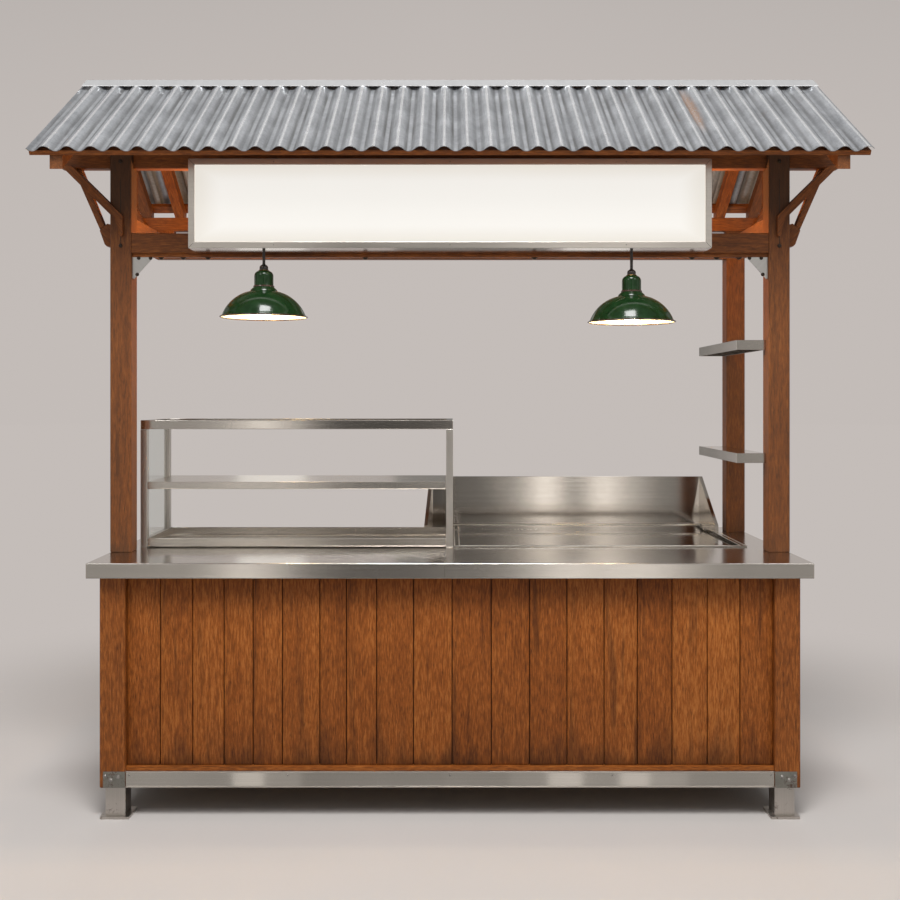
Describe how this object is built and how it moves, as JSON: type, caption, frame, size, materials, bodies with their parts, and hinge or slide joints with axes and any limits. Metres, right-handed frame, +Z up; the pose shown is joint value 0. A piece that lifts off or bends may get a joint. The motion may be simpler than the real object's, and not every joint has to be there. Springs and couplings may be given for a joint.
{
  "type": "street kiosk",
  "caption": "Timber street kiosk with stainless counter, display rack, lit sign, pendant lamps and corrugated gable roof.",
  "frame": {"origin": "on the ground, at the centre of the footprint of the whole kiosk, below the ridge", "axes": "+X along the counter to the customer's right, +Y from the customer's side to the vendor's side, +Z up"},
  "size_m": [2.7914, 1.1906, 2.6129],
  "materials": {
    "timber": "stained hardwood, weathered",
    "plywood": "raw",
    "stainless": "brushed",
    "worn_steel": "worn, a little rust",
    "galvanised": "spangled, weathered",
    "green_enamel": "gloss",
    "dark_holder": "satin",
    "bulb_glass": "lit",
    "opal_face": "lit from behind",
    "clear_glass": "clear"
  },
  "bodies": {
    "root": {"feet": "worn_steel", "corner_posts": "timber", "kick_rails": "stainless", "sill_strips": "timber", "boarding_front": "timber", "boarding_rear": "timber", "boarding_ends": "timber", "base_floor": "plywood", "counter_top": "stainless", "counter_board": "plywood", "cooking_recess": "stainless", "splash_guard": "stainless", "front_posts": "timber", "post_rear_right": "timber", "front_head_plate": "timber", "front_lower_beam": "timber", "rear_beams": "timber", "side_rails": "timber", "front_braces": "timber", "front_struts": "timber", "rear_braces": "timber", "gusset_plates": "worn_steel", "gable_rafters": "timber", "inner_rafters": "timber", "rear_end_struts": "timber", "ridge_board": "timber", "roof_battens": "timber", "roof_sheet_front": "galvanised", "roof_sheet_rear": "galvanised", "ridge_cap": "galvanised", "sign_case": "stainless", "sign_frame": "stainless", "sign_face": "opal_face", "lamp_left_holder": "dark_holder", "lamp_left_shade": "green_enamel", "lamp_left_bulb": "bulb_glass", "lamp_right_holder": "dark_holder", "lamp_right_shade": "green_enamel", "lamp_right_bulb": "bulb_glass", "rack_uprights": "stainless", "rack_top_frame": "stainless", "rack_shelf": "stainless", "rack_tray": "stainless", "rack_end_glass": "clear_glass", "end_shelves": "stainless"}
  },
  "joints": []
}
